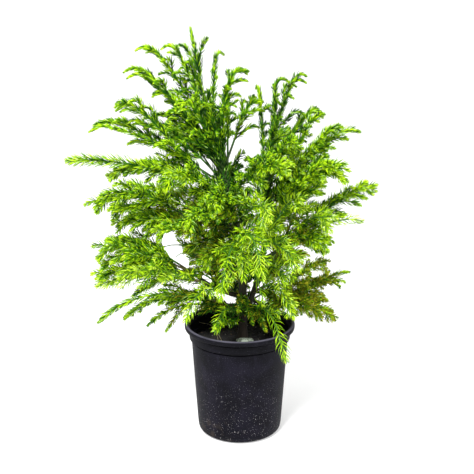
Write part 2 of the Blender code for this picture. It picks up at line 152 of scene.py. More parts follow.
# %% Sprays of the model
Spray = namedtuple("Spray", "name carrier share bearing spread climb arch twig green")
SPRAY_TABLE = """
top_leader trunk 1.00 198 20 116 4 70 dark
crest_left trunk 0.88 209 68 142 12 45 dark
high_left_outer trunk 0.85 183 102 146 18 55 dark
high_left_lower trunk 0.78 194 128 143 18 55 dark
high_right trunk 0.89 20 38 96 20 40 dark
centre_front trunk 0.74 230 79 116 12 70 dark
centre_back trunk 0.70 116 96 125 12 75 dark
centre_fork trunk 0.76 36 54 98 10 60 dark
upper_left_tuft left_high_bough 1.00 202 88 77 18 60 dark
upper_left_reach left_high_bough 0.82 174 134 58 20 70 dark
long_left left_high_bough 0.55 187 193 38 10 35 mid
right_leader right_stem 1.00 341 43 124 6 75 dark
right_fork right_stem 0.66 110 38 188 6 45 dark
right_pale right_stem 0.86 292 78 82 8 40 mid
right_hook right_stem 0.90 27 82 94 14 45 dark
right_reach right_stem 0.76 359 124 106 18 70 mid
right_shoulder right_stem 0.64 331 111 86 22 75 mid
far_right_upper right_mid_bough 1.00 0 102 70 6 55 mid
far_right_lower right_mid_bough 0.78 340 105 41 8 40 bright
right_back right_mid_bough 0.55 61 125 78 18 75 mid
left_arch left_mid_bough 1.00 201 136 32 30 70 mid
left_level left_mid_bough 0.60 165 148 32 15 75 mid
left_fan_upper left_bough 1.00 194 134 53 12 80 mid
left_fan_lower left_bough 0.80 174 161 4 12 70 mid
left_fan_front left_bough 0.60 219 164 54 15 70 bright
front_left_droop left_bough 0.35 245 131 1 30 45 bright
low_left_droop trunk 0.13 196 212 4 34 50 mid
low_left_tip trunk 0.09 170 181 -11 34 50 olive
low_left_hang trunk 0.06 188 111 -5 40 35 olive
low_right_tip right_low_bough 1.00 17 101 47 4 55 olive
low_right_hang right_low_bough 0.62 345 93 -12 20 45 olive
low_right_front right_low_bough 0.45 324 95 5 14 40 olive
rim_hang trunk 0.10 301 114 -30 46 40 bright
rim_left trunk 0.07 244 89 22 26 30 bright
front_right_droop right_stem 0.18 295 125 5 30 45 bright
front_low_right front_bough 1.00 289 89 -43 26 45 bright
front_low_left front_bough 0.78 255 99 -58 26 45 bright
front_star front_bough 0.55 305 134 -3 22 55 bright
front_high_right trunk 0.50 286 156 56 24 60 bright
front_high_left trunk 0.46 246 164 62 24 60 mid
front_crown_left trunk 0.57 231 142 71 26 60 mid
front_crown_right trunk 0.64 304 131 60 24 60 mid
back_low_left trunk 0.16 128 173 29 26 70 mid
back_low_right trunk 0.12 58 161 38 30 70 mid
back_mid_left trunk 0.43 130 183 52 26 75 mid
back_mid_centre trunk 0.34 91 179 58 28 75 mid
back_mid_right right_stem 0.52 69 159 37 26 75 mid
back_high_left trunk 0.62 132 148 87 22 75 mid
back_high_right right_stem 0.72 78 113 94 20 70 mid
"""


def spray(name, carrier, *numbers):
    """A row of the table as a Spray: its name, its carrier, six numbers and its green."""
    return Spray(name, carrier, *map(float, numbers[:-1]), numbers[-1])


SPRAYS = [spray(*row.split()) for row in SPRAY_TABLE.strip().splitlines()]
print(len(SPRAYS), "sprays that stand for the model's")

# %% [markdown]
# ## Sprays that fill the crown
#
# Old short shoots fill a bush from inside. A dark blob would do from afar, but light falls through a real
# crown. So they are rows of the same kind, without names, and the same rule grows them.

# %% Sprays of the infill
INFILL_TABLE = """
right_stem 0.84 23 13 160 6 35 dark
trunk 0.72 202 76 109 8 50 dark
trunk 0.74 238 50 111 8 50 dark
trunk 0.76 268 23 96 8 45 dark
trunk 0.72 167 100 90 14 55 dark
trunk 0.68 184 111 94 14 55 dark
trunk 0.70 87 17 127 10 40 dark
trunk 0.60 201 108 102 14 60 dark
left_high_bough 0.70 154 76 10 10 55 bright
left_mid_bough 0.80 190 116 15 12 55 mid
trunk 0.38 216 137 59 16 60 mid
left_bough 0.90 177 126 58 12 60 mid
left_mid_bough 0.60 149 90 13 12 60 mid
left_bough 0.95 185 136 27 12 55 mid
trunk 0.48 173 173 52 16 60 mid
right_stem 0.72 348 69 142 8 35 mid
right_stem 0.70 348 96 131 10 28 mid
right_stem 0.60 318 111 113 14 46 mid
right_stem 0.66 18 84 97 12 42 mid
right_mid_bough 0.90 306 75 37 14 60 bright
right_mid_bough 0.60 322 67 15 14 60 mid
right_low_bough 0.80 340 69 77 14 46 olive
right_low_bough 0.90 25 66 29 10 36 olive
right_stem 0.50 296 103 89 16 60 bright
trunk 0.36 244 112 29 18 55 mid
right_stem 0.30 291 98 18 18 50 bright
trunk 0.45 273 125 -19 30 45 bright
trunk 0.30 287 96 -10 24 45 bright
trunk 0.55 256 113 47 20 60 mid
right_stem 0.45 267 113 57 22 60 bright
right_stem 0.12 48 58 -13 12 45 olive
trunk 0.50 97 151 62 16 70 mid
trunk 0.38 113 163 21 16 70 mid
right_stem 0.42 81 160 2 18 70 mid
trunk 0.22 107 154 -4 22 65 mid
right_stem 0.20 79 151 -18 22 65 mid
trunk 0.10 96 127 -8 26 55 olive
trunk 0.28 145 156 15 20 60 mid
right_stem 0.30 41 118 30 18 60 mid
trunk 0.66 102 114 71 14 65 mid
right_stem 0.62 98 117 70 16 65 mid
right_stem 0.04 296 53 12 10 16 olive
trunk 0.12 300 62 -8 12 12 olive
trunk 0.16 262 50 6 14 12 olive
trunk 0.20 283 58 -22 8 9 olive
trunk 0.07 244 92 20 8 5 bright
trunk 0.78 182 122 132 14 20 dark
trunk 0.80 188 85 101 10 24 dark
trunk 0.90 21 38 96 16 14 dark
trunk 0.93 28 8 110 6 10 dark
trunk 0.68 186 187 92 16 26 dark
left_high_bough 0.80 180 116 -9 12 40 mid
left_bough 0.80 182 159 -3 12 40 bright
trunk 0.12 188 173 -2 30 22 olive
trunk 0.10 185 139 -10 26 18 olive
right_stem 0.92 358 68 98 8 9 dark
trunk 0.20 80 43 53 8 46 olive
right_stem 0.22 73 48 17 8 46 olive
trunk 0.26 122 47 17 8 44 olive
left_bough 0.25 195 69 43 8 36 olive
"""
INFILL = [spray("infill", *row.split()) for row in INFILL_TABLE.strip().splitlines()]
print(len(INFILL), "sprays that fill the crown")


# %% Paths of the limbs
def arched(foot, tip, bow, power, shares):
    """Points at shares s of a path: a straight line plus bow times (s - s to the power) over its own peak."""
    peak = power ** (-1 / (power - 1))
    shares = np.asarray(shares, float)[:, None]
    return foot + (tip - foot) * shares + bow * ((shares - shares**power) / (peak - peak**power))


def tip_of(piece, start):
    """The tip of a limb or spray: its spread along its bearing, plus its climb."""
    turn = math.radians(piece.bearing)
    return start + (np.array([math.cos(turn), math.sin(turn), 0]) * piece.spread + UP * piece.climb) * MM


def along(path, share):
    """The point at a share of a path of evenly counted points, and the way the path runs there."""
    place = min(share * (len(path) - 1), len(path) - 1 - 1e-6)
    i = int(place)
    return path[i] + (path[i + 1] - path[i]) * (place - i), unit(path[i + 1] - path[i])


def across(run):
    """Two directions square to each run: level, and upwards."""
    level = unit(np.cross(run, UP))
    return level, np.cross(level, run)


limb_paths = {}
for limb in LIMBS:
    start = TRUNK_FOOT if limb.carrier is None else along(limb_paths[limb.carrier], limb.share)[0]
    steps = 60 if limb.carrier in (None, "trunk") else 40
    shares = np.linspace(0, 1, steps + 1)
    limb_paths[limb.name] = arched(start, tip_of(limb, start), np.array(limb.bow) * MM, 2, shares)
print("the trunk's top is at", np.round(limb_paths["trunk"][-1], 3))

# %% [markdown]
# ## Materials
#
# New needles are yellow-green, older ones deep green, and shaded ones olive or straw. One material could
# blend the greens by an attribute. Instead each green is a piece with one colour and a faint mottle, which
# looks the same in any program. The rest gets its detail from noise in object coordinates, in metres.


# %% A helper for materials
def linear(r, g, b):
    """A colour seen as 0 to 255, as a shader's linear value: ((c + 0.055) / 1.055) to the power 2.4, or c / 12.92
    near black."""
    seen = [c / 255 for c in (r, g, b)]
    return tuple(c / 12.92 if c <= 10 / 255 else ((c + 0.055) / 1.055) ** 2.4 for c in seen) + (1,)


class Shader:
    """A material whose nodes are added one line at a time."""

    def __init__(self, name, colour, roughness):
        self.material = bpy.data.materials.new(name)
        self.material.use_nodes = True
        self.nodes, self.links = self.material.node_tree.nodes, self.material.node_tree.links
        self.main = self.nodes["Principled BSDF"]
        self.main.inputs["Base Color"].default_value = linear(*colour)
        self.main.inputs["Roughness"].default_value = roughness
        self.place = self.nodes.new("ShaderNodeTexCoord").outputs["Object"]

    def node(self, kind, values, out=0, **settings):
        """The output of a new node. Each value is a constant for its socket, or an output that is linked to it."""
        node = self.nodes.new("ShaderNode" + kind)
        for name, value in settings.items():
            setattr(node, name, value)
        for name, value in values.items():
            if isinstance(value, bpy.types.NodeSocket):
                self.links.new(value, node.inputs[name])
            else:
                node.inputs[name].default_value = value
        return node.outputs[out]

    def axis(self, name):
        """The place along X, Y or Z, in metres."""
        return self.node("SeparateXYZ", {"Vector": self.place}, name)

    def noise(self, scale, detail=4, stretch=(1, 1, 1)):
        """Noise with scale bumps a metre, squeezed along each axis by stretch."""
        place = self.node("Mapping", {"Vector": self.place, "Scale": stretch})
        return self.node("TexNoise", {"Vector": place, "Scale": scale, "Detail": detail}, "Fac")

    def band(self, value, low, high):
        """0 below low, 1 above high, and smooth between."""
        values = {"Value": value, "From Min": low, "From Max": high}
        return self.node("MapRange", values, interpolation_type="SMOOTHSTEP")

    def times(self, a, b):
        """One value times another."""
        return self.node("Math", {0: a, 1: b}, operation="MULTIPLY")

    def mix(self, factor, a, b):
        """Colour a where factor is 0 and b where it is 1."""
        a, b = (linear(*colour) if isinstance(colour, tuple) else colour for colour in (a, b))
        return self.node("Mix", {0: factor, 6: a, 7: b}, 2, data_type="RGBA")

    def bump(self, height, depth):
        """Relief of a depth in metres."""
        relief = self.node("Bump", {"Height": height, "Distance": depth})
        self.links.new(relief, self.main.inputs["Normal"])

    def colour(self, out):
        """The colour of the surface."""
        self.links.new(out, self.main.inputs["Base Color"])


print("0 to 255 in linear values: 64 is", round(linear(64, 64, 64)[0], 3))

# %% Greens, bark and twigs
TINTS = [
    (10, 46, 0), (30, 80, 0), (66, 116, 1), (109, 152, 6), (143, 184, 8), (168, 204, 18), (184, 212, 64),
    (110, 122, 12), (168, 166, 36), (152, 190, 92),
]
OLIVE, STRAW, PALE = 7, 8, 9


def needle_material(index, colour):
    """A green with a mottle so faint and small that its place doesn't matter."""
    shader = Shader(f"needles_{index}", colour, 0.6)
    lighter = tuple(min(255, round(c * 1.10 + 6)) for c in colour)
    shader.colour(shader.mix(shader.noise(260, 2), colour, lighter))
    shader.main.inputs["Specular IOR Level"].default_value = 0.12
    return shader.material


def bark_material():
    """Brown fibres drawn out along the stem, with grey-brown patches, turning green above 0.2 to 0.3 m."""
    shader = Shader("bark", (104, 74, 50), 0.9)
    fibres = shader.noise(900, 5, (1, 1, 0.12))
    patches = shader.band(shader.noise(90, 3), 0.42, 0.62)
    brown = shader.mix(fibres, (20, 15, 10), (46, 36, 24))
    brown = shader.mix(patches, brown, (38, 34, 24))
    shader.colour(shader.mix(shader.band(shader.axis("Z"), 0.20, 0.30), brown, (44, 62, 20)))
    shader.bump(fibres, 0.0005)
    return shader.material


def twig_material(name, colour, darker, high):
    """Twig bark: mottled below, and the one colour high in the plant, where the twigs are still green."""
    shader = Shader(name, colour, 0.65)
    low = shader.mix(shader.noise(420, 3), darker, colour)
    shader.colour(shader.mix(shader.band(shader.axis("Z"), 0.24, 0.34), low, high))
    return shader.material


needle_materials = [needle_material(i, colour) for i, colour in enumerate(TINTS)]
bark = bark_material()
green_twig = twig_material("green_twig", (76, 126, 14), (44, 88, 8), (50, 100, 10))
brown_twig = twig_material("brown_twig", (90, 84, 34), (58, 50, 26), (44, 68, 18))
print("made", len(bpy.data.materials), "materials")

# %% [markdown]
# ## Trunk, second stem and boughs
#
# The limbs taper, and stringy bark covers them. A bevelled curve would give smooth pipes. In a tube worked
# out round each path, noise moves the surface: long fibres, drawn out along the path, and slow swellings.


# %% Tubes round a path
def frames(path):
    """At each point of a path: the way it runs, and two directions square to it that don't spin."""
    run = unit(np.gradient(path, axis=0))
    side = unit(np.cross(run, np.array([0.31, 0.95, 0.05])))
    return run, side, np.cross(run, side)


def tube(path, radii, sides, relief=None):
    """Rings round a path: path + radius (1 + relief) (side cos a + other sin a), closed by a point at each end."""
    _, side, other = frames(path)
    turn = np.arange(sides) * math.tau / sides
    out = side[:, None] * np.cos(turn)[None, :, None] + other[:, None] * np.sin(turn)[None, :, None]
    size = np.asarray(radii)[:, None] * (1 if relief is None else 1 + relief)
    rings = path[:, None] + out * np.broadcast_to(size, out.shape[:2])[..., None]
    points = np.vstack([rings.reshape(-1, 3), path[:1], path[-1:]])
    j = np.arange(sides)
    k, last, end = (j + 1) % sides, (len(path) - 1) * sides, len(path) * sides
    foot_cap = np.stack([k, j, np.full(sides, end), np.full(sides, end)], -1)
    tip_cap = np.stack([last + j, last + k, np.full(sides, end + 1), np.full(sides, end + 1)], -1)
    faces = np.vstack([ring_faces(len(path), sides), foot_cap, tip_cap])
    return points, faces


def triangles(faces):
    """Four-cornered faces as triangles, dropping those whose last two corners are one point."""
    halves = np.vstack([faces[:, [0, 1, 2]], faces[:, [0, 2, 3]]])
    return halves[(halves[:, 0] != halves[:, 2]) & (halves[:, 1] != halves[:, 2])]


print("tubes ready")

# %% The limbs
ROOT_FLARE, FLARE_SHARE = 0.40, 0.035
FIBRES_ROUND, FIBRE_LENGTH = 3, 0.022


def limb_mesh(limb):
    """A tube whose radius falls evenly to the tip. The trunk starts a little lower, and flares at its root by
    exp(-(share / FLARE_SHARE) squared)."""
    path = limb_paths[limb.name]
    if limb.carrier is None:
        path = np.vstack([path[0] + (path[0] - path[1]) * 0.6, path])
    path = resampled(path, np.linspace(0, len(path) - 1, 3 * len(path)))
    share = np.linspace(0, 1, len(path))
    radii = (limb.foot_mm + (limb.tip_mm - limb.foot_mm) * share) * MM
    if limb.carrier is None:
        radii = radii * (1 + ROOT_FLARE * np.exp(-((share / FLARE_SHARE) ** 2)))
    sides = 28 if limb.name in ("trunk", "right_stem") else 14
    turn = np.arange(sides) * math.tau / sides
    x_round, y_round = np.cos(turn)[None] * FIBRES_ROUND, np.sin(turn)[None] * FIBRES_ROUND
    height = share[:, None] * np.linalg.norm(path[-1] - path[0]) / FIBRE_LENGTH
    grid = np.stack(np.broadcast_arrays(x_round, y_round, height), -1)
    seed = LIMBS.index(limb)
    relief = 0.07 * smooth_noise(grid, 0.5, seed) + 0.05 * smooth_noise(grid, 1.6, seed + 20)
    return tube(path, radii, sides, relief)


limb_points, limb_faces = merged([limb_mesh(limb) for limb in LIMBS])
limbs = add_piece("trunk_and_boughs", limb_points, triangles(limb_faces), bark)
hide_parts(*[limb.name for limb in LIMBS])
print("trunk and boughs:", len(limbs.data.polygons), "triangles")

# %% [markdown]
# ## Shoots
#
# A shoot from the sun has short needles laid forward like rope, and a soft tip that nods. One from the shade
# has longer needles that stand out. Each kind could be modelled once and copied, but the copies would show.
# Instead a stem carries side twigs by the model's rule, with its random draws, and a habit of a few numbers
# says how that kind grows. Needle, width and spacing are in millimetres. Lean and tip lean are a needle's
# angles from the shoot. Curl is how far a tip turns down, in radians, and rise how far twigs turn towards
# their carrier's way. Tone counts up from the darkest green, and tip tone is what a tip adds. Finer is the
# share of a twig's length that its own twigs have, and between how many twigs are added to the model's.
# Pale is a share of the needles, bend is a needle's, and flat is 1 where needles stand all round.

# %% Habits
HABIT_FIELDS = "needle width lean tip_lean spacing curl rise tone tip_tone finer between pale bend flat"
Habit = namedtuple("Habit", HABIT_FIELDS)
HABITS = {
    "dark": Habit(12.5, 1.75, 38, 20, 0.60, 1.30, 0.85, 2.3, 1.5, 0, 0, 0.03, 0.20, 1.0),
    "mid": Habit(15.5, 1.75, 46, 28, 0.70, 0.7, 0.35, 2.8, 1.2, 0, 8, 0.07, 0.20, 0.8),
    "bright": Habit(20.5, 1.7, 68, 46, 1.40, 0.3, 0.20, 3.7, 1.0, 0, 0, 0.05, 0.34, 0.5),
    "olive": Habit(13.5, 1.6, 48, 28, 0.76, 0.5, 0.20, 2.4, 1.2, 0.36, 8, 0.02, 0.20, 0.8),
    "wood": Habit(12.0, 1.9, 44, 34, 0.32, 0, 0, 1.6, 0.8, 0, 0, 0.03, 0.10, 1.0),
    "single": Habit(21.0, 1.8, 44, 32, 0.62, 0.35, 0.3, 3.3, 0.8, 0, 8, 0.06, 0.06, 0.6),
}
# Of every three twigs by the rule, those that grow.
TWIGS_OF_THREE = {"dark": (0, 2), "bright": (0, 1), "mid": (0, 1, 2), "olive": (0, 1, 2)}
# The share of each limb beyond which it still carries its needles.
CLOTHED_FROM = {"trunk": 0.40, "right_stem": 0.34}
BOUGH_CLOTHED_FROM = 0.25
# Beyond this share of its length a spray is a single shoot, with no side twigs.
SINGLE_FROM = {
    "long_left": 0.25, "rim_left": 0.3, "rim_hang": 0.62, "top_leader": 0.60, "crest_left": 0.8,
    "right_reach": 0.66, "far_right_lower": 0.62, "low_right_tip": 0.72, "low_left_droop": 0.52,
    "low_left_tip": 0.55, "low_left_hang": 0.6,
}
DARK_SINGLE_FROM = 0.86
STRAIGHT = ("top_leader", "long_left")
print("habits:", ", ".join(HABITS))

# %% Side twigs
Shoot = namedtuple("Shoot", "path tip habit tone level")
STEM_CURL, TWIG_CURL, FULLY_CURLED = 0.024, 0.020, 0.030
FIRST_TWIG, LAST_TWIG, TWIG_STEPS = 0.20, 0.92, 12
TWIG_LEAN = (34, 46)
TWIG_TAPER, TWIG_NOD, TWIG_FLATNESS = 0.75, 0.24, 0.6


def curled(path, bend, length):
    """A path whose last stretch, of this length, turns outwards and down by bend radians times its share to the
    power 0.8, as a heavy soft tip does."""
    steps = np.diff(path, axis=0)
    size = np.linalg.norm(steps, axis=1)
    run = steps / size[:, None]
    left = np.cumsum(size[::-1])[::-1] - size / 2
    turn = (bend * np.clip(1 - left / length, 0, 1) ** 0.8)[:, None]
    level = run * (1, 1, 0) + 0.05 * unit(path[-1:] * (1, 1, 0))
    fall = unit(unit(level) - 1.1 * UP)
    run = unit(run * np.cos(turn) + fall * np.sin(turn))
    return np.vstack([path[:1], path[0] + np.cumsum(run * size[:, None], axis=0)])


def side_twigs(path, count, reach, habit, draw, first=FIRST_TWIG):
    """Side twigs as (path, share along the carrier, length), from the same draws as the model. Twig k leaves the
    carrier at k golden angles round it. It turns towards the carrier's way, and nods by the cube of its share."""
    found = []
    for k in range(count):
        share = first + (LAST_TWIG - first) * k / (count - 1)
        turn = k * GOLDEN + draw.uniform(-0.4, 0.4)
        lean = math.radians(draw.uniform(*TWIG_LEAN))
        length = reach * (1 - TWIG_TAPER * share) * draw.uniform(0.85, 1.15)
        foot, run = along(path, share)
        level, upward = across(run)
        side = unit(level * math.cos(turn) + upward * math.sin(turn) * TWIG_FLATNESS)
        heading = run * math.cos(lean) + side * math.sin(lean)
        turned_by = habit.rise * (np.arange(TWIG_STEPS)[:, None] + 0.5) / TWIG_STEPS
        ways = unit(heading * (1 - turned_by) + unit(run + 0.4 * UP) * turned_by)
        twig = np.vstack([foot, foot + np.cumsum(ways, axis=0) * length / TWIG_STEPS])
        nod = TWIG_NOD * (1 - habit.rise) * length * np.linspace(0, 1, TWIG_STEPS + 1)[:, None] ** 3
        bend = habit.curl * min(1, length / FULLY_CURLED)
        found.append((curled(twig - UP * nod, bend, TWIG_CURL), share, length))
    return found


print("a twig has", TWIG_STEPS, "steps")

# %% Growing the sprays
SEED, TWIGS_BY_RULE = 7, 12  # as in the model
FINER_SEED = 1000
STEM_STEPS, CURL_REACH = 40, 0.007
BETWEEN_LENGTH, BETWEEN_FIRST = 0.85, 0.12
FINER_EVERY = 0.010


def grow_spray(index, spray):
    """The shoots of a spray: its stem, the side twigs that the rule gives it, and a twig's own twigs."""
    habit = HABITS[spray.green]
    draw, finer_draw = random.Random(SEED + index), random.Random(FINER_SEED + index)
    start = along(limb_paths[spray.carrier], spray.share)[0]
    tip = tip_of(spray, start)
    if spray.name not in STRAIGHT:
        tip = tip + unit(tip - start) * CURL_REACH * habit.curl
    stem = arched(start, tip, UP * spray.arch * MM, 3, np.linspace(0, 1, STEM_STEPS + 1))
    if spray.name not in STRAIGHT:
        stem = curled(stem, habit.curl, STEM_CURL)
    dress = HABITS["single"] if spray.name == "long_left" else habit
    shoots = [Shoot(stem, 1.0, dress, dress.tone, 0)]
    reach = spray.twig * MM
    twigs = side_twigs(stem, TWIGS_BY_RULE, reach, habit, draw)
    twigs = [twig for k, twig in enumerate(twigs) if k % 3 in TWIGS_OF_THREE[spray.green]]
    if habit.between:
        twigs += side_twigs(stem, habit.between, reach * BETWEEN_LENGTH, habit, finer_draw, BETWEEN_FIRST)
    single_from = SINGLE_FROM.get(spray.name, DARK_SINGLE_FROM if spray.green == "dark" else 1)
    for path, share, length in twigs:
        if share > single_from:
            continue
        tone = habit.tone + 0.5 * share + finer_draw.uniform(-0.7, 0.7)
        shoots.append(Shoot(path, 0.25 + 0.75 * share, habit, tone, 1))
        count = int(length / FINER_EVERY)
        if not habit.finer or count < 3:
            continue
        for small, _, _ in side_twigs(path, count, length * habit.finer, habit, finer_draw):
            shoots.append(Shoot(small, 0.5, habit, tone + finer_draw.uniform(-0.3, 0.5), 2))
    return shoots


shoots = [shoot for index, spray in enumerate(SPRAYS + INFILL) for shoot in grow_spray(index, spray)]
total = sum(np.linalg.norm(np.diff(s.path, axis=0), axis=1).sum() for s in shoots)
clothing = []
for name, path in limb_paths.items():
    first = round(CLOTHED_FROM.get(name, BOUGH_CLOTHED_FROM) * (len(path) - 1))
    clothing.append(Shoot(path[first:], 0.0, HABITS["wood"], HABITS["wood"].tone, 0))
print(len(shoots), "shoots,", round(total, 1), "m long in all, and", len(clothing), "limbs with needles")

# %% [markdown]
# ## Clear of the pot
#
# Foliage leans on a real pot and bends aside. A simulation could push it there. It is simpler not to set a
# needle that would reach into the potting mix, the wall or the rim.

# %% Clear of the pot
MIX_TOP, POT_HEIGHT, RIM_RADIUS, WALL_INNER = 0.146, 0.172, 0.0825, 0.0735
POT_MARGIN = 0.0004


def meets_pot(points):
    """For each row of points, whether any of them lies in the mix, or in the pot's wall or rim: under its top and
    between its radii, each with the margin."""
    out, height = np.hypot(points[..., 0], points[..., 1]), points[..., 2]
    within = out < RIM_RADIUS + POT_MARGIN
    low = (height < MIX_TOP + POT_MARGIN) & within
    wall = (height < POT_HEIGHT + POT_MARGIN) & (out > WALL_INNER - POT_MARGIN) & within
    return (low | wall).any(-1)


print("the mix lies", round((POT_HEIGHT - MIX_TOP) / MM), "mm under the rim")

# %% [markdown]
# ## Openings
#
# Light shows through a few openings in a real crown. A Boolean would leave cut faces. Instead a side twig
# ends where it would cross the line of sight through an opening, and no needle is set there. Each opening
# is an ellipse in the plane y = 0, seen from the front.

# %% Openings
EYE = np.array([-0.004, -1.4, 0.716])
OPENINGS = [  # across, up, half width and half height, in millimetres
    (-103, 299, 9, 12), (-95, 283, 10, 14), (-85, 264, 9, 12), (-47, 408, 9, 13), (-13, 433, 7, 17),
    (16, 443, 10, 20), (-48, 238, 6, 8), (24, 230, 9, 7), (24, 209, 10, 7), (54, 349, 4, 6), (-62, 203, 7, 5),
]


def in_opening(points):
    """Whether each point falls in an opening: it goes along its line of sight to the plane y = 0, and there
    ((x - a) / c) squared + ((z - b) / d) squared is under 1."""
    reach = -EYE[1] / (points[..., 1] - EYE[1])
    x, z = (EYE[i] + (points[..., i] - EYE[i]) * reach for i in (0, 2))
    inside = [((x / MM - a) / c) ** 2 + ((z / MM - b) / d) ** 2 < 1 for a, b, c, d in OPENINGS]
    return np.any(inside, axis=0)


def ended(shoot):
    """A side twig cut short where it would enter an opening. Stems go on."""
    inside = np.flatnonzero(in_opening(shoot.path))
    if shoot.level == 0 or not len(inside):
        return shoot
    return shoot._replace(path=shoot.path[: inside[0]])


grown = len(shoots)
shoots = [shoot for shoot in map(ended, shoots) if len(shoot.path) > 3]
print("left out", grown - len(shoots), "shoots that would start in an opening")

# %% [markdown]
# ## Needles
#
# Short awl-shaped needles stand all round a shoot, each curved in towards the tip. They could be instances
# of one mesh. As faces of their own they all differ, and an export keeps them. They go round by the golden
# angle, so no two stand in line, and a spike with three sides needs only ten triangles.

# %% The needles of a shoot
BARE_STEM, BARE_TWIG = 0.10, 0.05
CLOSER_TO_TIP = 1.3
TIP_STRETCH = 0.018
LEVEL_LENGTH = (1, 1, 0.88)
TONE_SPREAD = 2.3


def needle_rows(shoot):
    """The needles of a shoot, one in each row: root, way, run, length, width, tone, pale and bend. Needle k stands
    k golden angles round the shoot. Its lean nears the tip's by its share to the power 2.5, and its tone by the
    power 4."""
    habit, path = shoot.habit, shoot.path
    steps = np.linalg.norm(np.diff(path, axis=0), axis=1)
    arc = np.concatenate([[0], np.cumsum(steps)])
    bare = BARE_STEM if shoot.level == 0 else BARE_TWIG
    count = max(6, int(arc[-1] * (1 - bare) / (habit.spacing * MM)))
    share = bare + (1 - bare) * (1 - (1 - (np.arange(count) + 0.5) / count) ** CLOSER_TO_TIP)
    place = np.interp(share * arc[-1], arc, np.arange(len(path)))
    run, side, other = frames(path)
    low = np.minimum(place.astype(int), len(path) - 2)
    part = (place - low)[:, None]
    root, run, side, other = (a[low] * (1 - part) + a[low + 1] * part for a in (path, run, side, other))
    turn = np.arange(count) * GOLDEN + rng.uniform(-0.35, 0.35, count)
    out = side * np.cos(turn)[:, None] + other * np.sin(turn)[:, None] * habit.flat
    lean = habit.lean + (habit.tip_lean - habit.lean) * share**2.5 + rng.uniform(-9, 9, count)
    lean = np.radians(lean)[:, None]
    way = unit(run) * np.cos(lean) + unit(out) * np.sin(lean)
    near_tip = np.clip(1 - (1 - share) * arc[-1] / TIP_STRETCH, 0, 1)
    size = 0.84 + 0.16 * np.sin(np.pi * share) - 0.5 * near_tip
    length = habit.needle * MM * size * rng.uniform(0.84, 1.14, count) * LEVEL_LENGTH[shoot.level]
    tone = shoot.tone - 0.7 * (1 - share) ** 2 + habit.tip_tone * shoot.tip * share**4
    tone = tone + rng.uniform(-TONE_SPREAD, TONE_SPREAD, count)
    pale = rng.random(count) < habit.pale
    width, bend = np.full(count, habit.width * MM), np.full(count, habit.bend)
    return np.column_stack([root, way, unit(run), length, width, tone, pale, bend])


rows = np.vstack([needle_rows(shoot) for shoot in shoots + clothing])
ends = np.stack([rows[:, :3], rows[:, :3] + rows[:, 3:6] * rows[:, 9:10]], 1)
in_pot, in_gap = meets_pot(ends), in_opening(ends).any(1)
rows = rows[~in_pot & ~in_gap]
root, way, run = rows[:, :3], rows[:, 3:6], rows[:, 6:9]
length, width, tone, pale, bends = rows[:, 9:].T
print(len(rows), "needles, without", in_pot.sum(), "that would meet the pot and", in_gap.sum(), "in an opening")


# %% The shape of a needle
def needle_mesh(chosen):
    """The chosen needles as one mesh. A needle's middle line is root + length (way t + (run - way) bend t squared)
    for t from 0 to 1. It has three points at t = 0, three at 0.55, where it is widest, and one at 1."""
    base, ahead, along_shoot = root[chosen], way[chosen], run[chosen]
    long, wide = length[chosen][:, None], width[chosen][:, None]
    bend = (along_shoot - ahead) * bends[chosen][:, None]
    side = unit(np.cross(along_shoot, ahead))
    keel = np.cross(side, ahead)
    points = []
    for t, swell in ((0.0, 0.7), (0.55, 1.0)):
        middle = base + (ahead * t + bend * t * t) * long
        half = side * wide * swell / 2
        points += [middle + half, middle - half, middle + keel * wide * swell * 0.45]
    points.append(base + (ahead + bend) * long)
    points = np.stack(points, 1).reshape(-1, 3)
    sides = [(0, 1, 4), (0, 4, 3), (1, 2, 5), (1, 5, 4), (2, 0, 3), (2, 3, 5)]
    one = np.array(sides + [(3, 4, 6), (4, 5, 6), (5, 3, 6), (0, 2, 1)])
    return points, (one[None] + 7 * np.arange(len(base))[:, None, None]).reshape(-1, 3)


print("one needle has", len(needle_mesh(np.array([0]))[1]), "triangles")

# %% Tones
SHADED_CORE_RADIUS = 0.066
OLD_BELOW, FOOT_BELOW, FOOT_RIGHT = 0.36, 0.285, 0.035
OLD_RADIUS, FOOT_OLD_RADIUS = 0.105, 0.140
OLD_SHARE, FOOT_OLD_SHARE, OLIVE_SHARE = 0.34, 0.60, 0.8
TOP_RIGHT = 0.03
BRIGHT_BEND = 0.3  # only needles of the bright habit bend more, and they stay green

trunk = limb_paths["trunk"]
axis = np.stack([np.interp(root[:, 2], trunk[:, 2], trunk[:, i]) for i in (0, 1)], -1)
inward, across_crown, height = np.hypot(*(root[:, :2] - axis).T), root[:, 0], root[:, 2]
# Painted shade: darker near the trunk, the more so the lower. Then darker low in the crown, and in its top on the
# right.
tone = tone - np.interp(height, (0.36, 0.46), (2.0, 0.5)) * np.exp(-((inward / SHADED_CORE_RADIUS) ** 2))
tone = tone - np.interp(height, (0.20, 0.26), (0.5, 0.0))
tone = tone - np.interp(height, (0.42, 0.48), (0.0, 1.0)) * (across_crown > TOP_RIGHT)
tint = np.clip(np.round(tone), 0, 6).astype(int)
tint[pale > 0] = PALE
# Old needles near the trunk are olive or straw, and more of them at the foot on the right.
right_foot = (across_crown > FOOT_RIGHT) & (height < FOOT_BELOW)
old = (inward < np.where(right_foot, FOOT_OLD_RADIUS, OLD_RADIUS)) & (height < OLD_BELOW)
old &= (rng.random(len(root)) < np.where(right_foot, FOOT_OLD_SHARE, OLD_SHARE)) & (bends < BRIGHT_BEND)
tint[old] = np.where(rng.random(old.sum()) < OLIVE_SHARE, OLIVE, STRAW)
print("needles of each tint:", np.bincount(tint))

